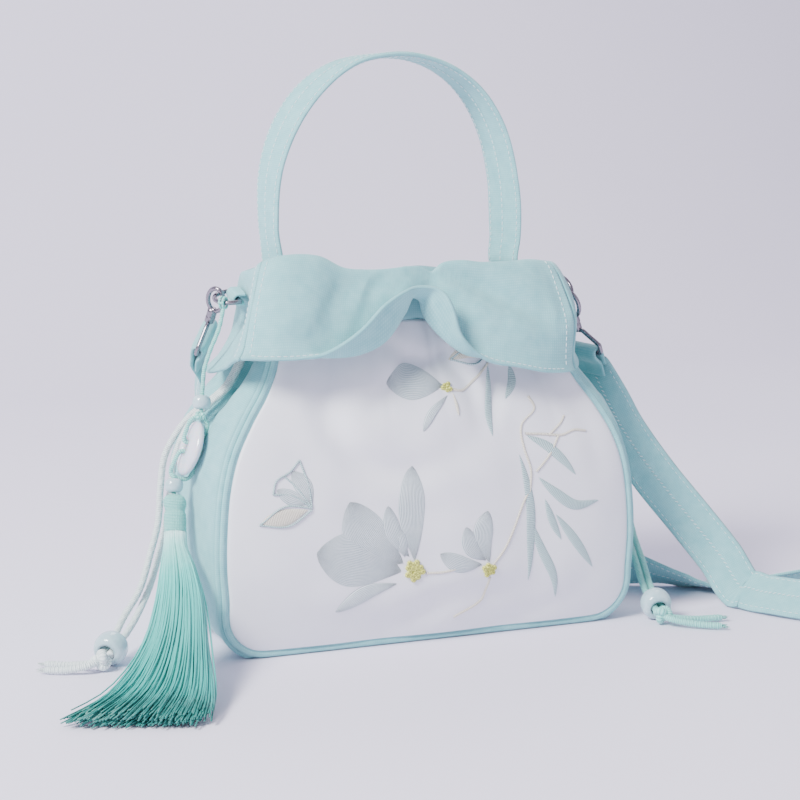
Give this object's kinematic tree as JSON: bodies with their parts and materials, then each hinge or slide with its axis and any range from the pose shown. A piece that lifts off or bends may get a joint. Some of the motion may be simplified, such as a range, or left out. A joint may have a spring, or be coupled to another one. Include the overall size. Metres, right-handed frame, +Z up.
{
  "type": "embroidered purse",
  "caption": "Soft cloth purse with a turned-down collar, hand loop, shoulder strap, beaded drawstrings and a tassel pendant.",
  "frame": {"origin": "middle of the flat base, on the floor", "axes": "+Z up, front face towards -Y, +X to the right when the front is looked at"},
  "size_m": [0.5343, 0.2182, 0.288],
  "materials": {
    "satin": "soft white satin with satin-stitch embroidery",
    "aqua_cloth": "matt plain-woven cloth, pale aqua",
    "metal": "smooth nickel-grey plated wire",
    "pale_cord": "smooth braided cord, near white",
    "mint_cord": "smooth braided cord, mint",
    "bead": "glossy pale blue-green glaze",
    "jade": "polished milky white stone",
    "tassel_silk": "silky threads, pale mint at the wrap to deep teal at the cut ends"
  },
  "bodies": {
    "root": {"front_panel": "satin", "back_panel": "satin", "gusset": "aqua_cloth", "front_piping": "aqua_cloth", "back_piping": "aqua_cloth", "drawstring_casing": "aqua_cloth", "collar_front": "aqua_cloth", "collar_right": "aqua_cloth", "collar_back": "aqua_cloth", "collar_left": "aqua_cloth", "handle_strap": "aqua_cloth", "shoulder_strap": "aqua_cloth", "ring_tab_left": "aqua_cloth", "ring_tab_right": "aqua_cloth", "d_ring_left": "metal", "d_ring_right": "metal", "snap_hook_left": "metal", "snap_hook_right": "metal", "drawstring_left_a": "pale_cord", "drawstring_left_b": "pale_cord", "drawstring_knot_left": "pale_cord", "drawstring_bead_left": "bead", "drawstring_right_a": "mint_cord", "drawstring_right_b": "mint_cord", "drawstring_knot_right": "mint_cord", "drawstring_bead_right": "bead", "pendant_cord_upper": "mint_cord", "pendant_cord_lower": "mint_cord", "pendant_bead_upper": "bead", "pendant_bead_lower": "bead", "pendant_ring_stone": "jade", "tassel": "tassel_silk"}
  },
  "joints": []
}
